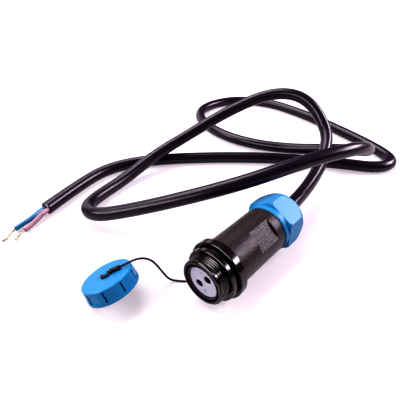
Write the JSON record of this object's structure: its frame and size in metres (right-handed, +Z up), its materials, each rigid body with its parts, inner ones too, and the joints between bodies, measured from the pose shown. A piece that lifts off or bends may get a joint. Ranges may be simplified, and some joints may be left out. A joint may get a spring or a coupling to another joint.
{
  "type": "waterproof cable connector",
  "caption": "Waterproof in-line cable connector with a threaded round socket end, a hexagonal gland nut, a tethered dust cap and a loosely looped cable with stripped ends.",
  "frame": {"origin": "centre of the mating rim, on the connector's axis", "axes": "+Y along the connector's axis from the mating rim to the cable, +Z up from the surface it lies on"},
  "size_m": [0.1562, 0.2374, 0.0435],
  "materials": {
    "shell_black": "gloss",
    "housing_black": "fine grain",
    "insert_grey": "satin",
    "gland_blue": "satin",
    "collet_white": "satin",
    "seal_rubber": "matte",
    "contact_brass": "polished",
    "cable_black": "gloss",
    "core_blue": "satin",
    "core_brown": "satin",
    "bare_wire": "bare copper",
    "tether_black": "satin"
  },
  "bodies": {
    "connector": {"front_shell": "shell_black", "contact_insert": "insert_grey", "insert_retainer": "shell_black", "contact_one": "contact_brass", "contact_two": "contact_brass", "housing_seal": "seal_rubber", "rear_housing": "housing_black", "gland_nut": "gland_blue", "gland_seal": "seal_rubber", "gland_collet": "collet_white", "cable_jacket": "cable_black", "lead_blue": "core_blue", "lead_brown": "core_brown", "core_blue": "core_blue", "core_brown": "core_brown", "strands_blue": "bare_wire", "strands_brown": "bare_wire", "tether_eye": "tether_black", "tether_crimp": "tether_black", "tether_cord": "tether_black", "tether_ring": "tether_black"},
    "cap": {"dust_cap": "gland_blue", "cap_seal": "seal_rubber", "cap_post": "gland_blue"}
  },
  "joints": [
    {"name": "cap_swivel", "type": "hinge", "parent": "connector", "child": "cap", "pos_m": [-0.0323, -0.0208, -0.00216], "axis": [-0.4271, -0.0986, 0.8988], "continuous": true}
  ]
}
